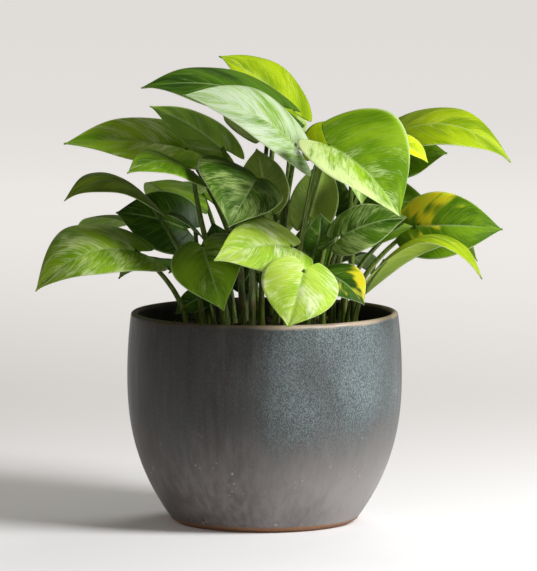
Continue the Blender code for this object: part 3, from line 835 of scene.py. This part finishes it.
def make_marbling():
    """The node group for the greens of a blade, on its own map: across from -1 to 1 and along from
    the stalk to the tip. Streaks follow the side veins."""
    group = bpy.data.node_groups.new("leaf_marbling", "ShaderNodeTree")
    for name in ("Deep", "Fresh", "Pale", "Gold"):
        group.interface.new_socket(name, in_out="INPUT", socket_type="NodeSocketColor")
    for name in ("Marbling", "Pale Side", "Gold Share", "Gold At", "Seed", "Length", "Half Width"):
        group.interface.new_socket(name, in_out="INPUT", socket_type="NodeSocketFloat")
    group.interface.new_socket("Colour", in_out="OUTPUT", socket_type="NodeSocketColor")
    group.interface.new_socket("Roughness", in_out="OUTPUT", socket_type="NodeSocketFloat")
    group.interface.new_socket("Height", in_out="OUTPUT", socket_type="NodeSocketFloat")
    given = put(group, "NodeGroupInput").outputs
    across, along, _ = split(group, put(group, "ShaderNodeUVMap", uv_map="blade").outputs[0])
    off = calc(group, "ABSOLUTE", across)
    half = calc(group, "GREATER_THAN", across, 0.0)
    seed = plus(group, times(group, given["Seed"], 3.7), times(group, half, 5.3))
    vein = calc(group, "SUBTRACT", along, times(group, off, VEIN_SLANT))
    along_mm = times(group, vein, given["Length"])
    across_mm = times(group, off, given["Half Width"])
    spot = join(group, along_mm, across_mm, seed)
    streak = mottle(group, stretch(group, spot, (0.9, 0.15, 1.0)), 1.0, 4.0, 0.65)
    patch = mottle(group, stretch(group, spot, (0.105, 0.05, 1.7)), 1.0, 2.0)
    cloud = mottle(group, stretch(group, spot, (0.05, 0.04, 2.9)), 1.0, 2.0)
    grain = mottle(group, stretch(group, spot, (2.2, 1.1, 1.0)), 1.0, 2.0)
    # greens
    greening = plus(group, times(group, cloud, 0.7), times(group, streak, 0.3))
    colour = blend_colours(group, rise(group, greening, 0.36, 0.62), given["Deep"], given["Fresh"])
    # pale marbling
    mark = plus(group, times(group, patch, 0.52), times(group, streak, 0.48))
    leaning = times(group, times(group, across, given["Pale Side"]), 0.16)
    mark = plus(group, mark, leaning)
    level = calc(group, "SUBTRACT", 0.69, times(group, given["Marbling"], 0.40))
    marbled = rise(group, calc(group, "SUBTRACT", mark, level), -0.08, 0.14)
    colour = blend_colours(group, times(group, marbled, 0.88), colour, given["Pale"])
    # gold patch
    distance = calc(group, "ABSOLUTE", calc(group, "SUBTRACT", along, given["Gold At"]))
    gold_here = plus(group, times(group, patch, 1.1), times(group, distance, -1.1))
    gold_here = plus(group, gold_here, times(group, across, -0.36))
    gilded = times(group, rise(group, gold_here, 0.42, 0.62), given["Gold Share"])
    gold_tone = blend_colours(group, rise(group, streak, 0.42, 0.6), given["Gold"], GOLD_GREEN)
    colour = blend_colours(group, gilded, colour, gold_tone)
    # veins, midrib and margin
    beat = calc(group, "FRACT", times(group, vein, VEINS))
    beat = calc(group, "ABSOLUTE", calc(group, "SUBTRACT", beat, 0.5))
    veins = times(group, rise(group, beat, 0.09, 0.0), rise(group, off, 0.98, 0.6))
    colour = blend_colours(group, times(group, veins, 0.12), colour, VEIN_GREEN)
    rib_width = calc(group, "DIVIDE", 1.1, given["Half Width"])
    midrib = times(group, rise(group, off, rib_width, 0.0), rise(group, along, 1.0, 0.7))
    colour = blend_colours(group, times(group, midrib, 0.5), colour, MIDRIB_GREEN)
    margin = rise(group, off, 0.955, 0.985)
    colour = blend_colours(group, times(group, margin, 0.65), colour, MARGIN_GREEN)
    # gloss and relief
    gloss = plus(group, rise(group, cloud, 0.35, 0.65, 0.36, 0.47), times(group, marbled, 0.05))
    height = calc(group, "SUBTRACT", times(group, grain, 0.45), times(group, veins, 0.6))
    height = plus(group, height, times(group, streak, 0.5))
    end = put(group, "NodeGroupOutput")
    for name, value in (("Colour", colour), ("Roughness", gloss), ("Height", height)):
        feed(group, end.inputs[name], value)
    return group


MARBLING = make_marbling()

GREENS = {
    # deep green, fresh green, pale marbling
    "deep": ((0.016, 0.052, 0.002), (0.062, 0.150, 0.005), (0.34, 0.47, 0.14)),
    "mid": ((0.065, 0.155, 0.003), (0.170, 0.330, 0.008), (0.44, 0.57, 0.18)),
    "olive": ((0.055, 0.105, 0.002), (0.150, 0.235, 0.008), (0.28, 0.35, 0.08)),
    "fresh": ((0.110, 0.250, 0.004), (0.250, 0.430, 0.012), (0.58, 0.70, 0.30)),
    "cream": ((0.250, 0.450, 0.020), (0.460, 0.660, 0.070), (0.78, 0.85, 0.52)),
    "mint": ((0.110, 0.230, 0.020), (0.260, 0.420, 0.080), (0.47, 0.56, 0.41)),
    # painted backlight: these yellow-greens are lightened to stand in for light shining through the leaves
    # from behind
    "lime_painted_backlight": ((0.160, 0.270, 0.001), (0.320, 0.450, 0.002), (0.44, 0.55, 0.04)),
    # paler because the leaf is young, and lightened further with painted backlight shining through it
    "young": ((0.480, 0.640, 0.004), (0.680, 0.800, 0.006), (0.75, 0.80, 0.06)),
}


def duller(colour, keep, grey, to_grey):
    """A green as it looks from under the leaf: keep times as bright, then drawn towards a grey."""
    return tuple(c * keep * (1 - to_grey) + g * to_grey for c, g in zip(colour, grey))


def blade_material(name, blade, number, under, green, marbling, pale_side, gold, gold_at):
    material, tree, shader = new_material(name)
    pattern = put(tree, "ShaderNodeGroup", node_tree=MARBLING)
    deep, fresh, pale = GREENS[green]
    if under:
        deep = duller(deep, 1.2, (0.24, 0.32, 0.10), 0.26)
        fresh = duller(fresh, 1.1, (0.28, 0.36, 0.12), 0.26)
        pale = duller(pale, 0.9, (0.36, 0.42, 0.22), 0.4)
    values = {
        "Deep": deep,
        "Fresh": fresh,
        "Pale": pale,
        "Gold": GOLD,
        "Marbling": marbling,
        "Pale Side": pale_side,
        "Gold Share": gold,
        "Gold At": gold_at,
        "Seed": float(number),
        "Length": blade.length,
        "Half Width": blade.width / 2,
    }
    for socket, value in values.items():
        feed(tree, pattern.inputs[socket], value)
    feed(tree, shader.inputs["Base Color"], pattern.outputs["Colour"])
    roughness = pattern.outputs["Roughness"]
    feed(tree, shader.inputs["Roughness"], plus(tree, roughness, 0.22) if under else roughness)
    shader.inputs["Specular IOR Level"].default_value = 0.10 if under else 0.15
    depth = 0.0009 if under else 0.0006
    feed(tree, shader.inputs["Normal"], dents(tree, pattern.outputs["Height"], 0.35, depth))
    return material


stalk_finish, stalk_tree, stalk_shader = new_material("leaf_stalk")
stalk_map = put(stalk_tree, "ShaderNodeUVMap", uv_map="blade").outputs[0]
stalk_round, stalk_along, _ = split(stalk_tree, stalk_map)
stalk_place = stretch(stalk_tree, object_place(stalk_tree), (1.0, 1.0, 0.15))
stalk_streaks = mottle(stalk_tree, stalk_place, 800.0, 3.0)
stalk_colour = blend_colours(stalk_tree, rise(stalk_tree, stalk_along, 0.0, 0.8), *STALK_GREENS)
streak_share = rise(stalk_tree, stalk_streaks, 0.38, 0.66, 0.0, 0.75)
stalk_colour = blend_colours(stalk_tree, streak_share, stalk_colour, STALK_STREAK)
edge_share = rise(stalk_tree, stalk_round, 0.9, 1.0, 0.0, 0.5)
stalk_colour = blend_colours(stalk_tree, edge_share, stalk_colour, STALK_EDGE)
feed(stalk_tree, stalk_shader.inputs["Base Color"], stalk_colour)
stalk_shader.inputs["Specular IOR Level"].default_value = 0.2
feed(stalk_tree, stalk_shader.inputs["Roughness"], rise(stalk_tree, stalk_streaks, 0.3, 0.7, 0.36, 0.52))
feed(stalk_tree, stalk_shader.inputs["Normal"], dents(stalk_tree, stalk_streaks, 0.3, 0.0004))

for number, (name, shape, root, finish) in enumerate(LEAVES):
    blade = Blade(number, *shape)
    top = blade_material(name + "_upper", blade, number, False, *finish)
    under = blade_material(name + "_under", blade, number, True, *finish)
    finishes = [top, under, stalk_finish]
    piece = add_piece(name.replace("leaf", "grown_leaf"), make_leaf(blade, root), finishes)
    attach(piece, "root")
    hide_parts(name)
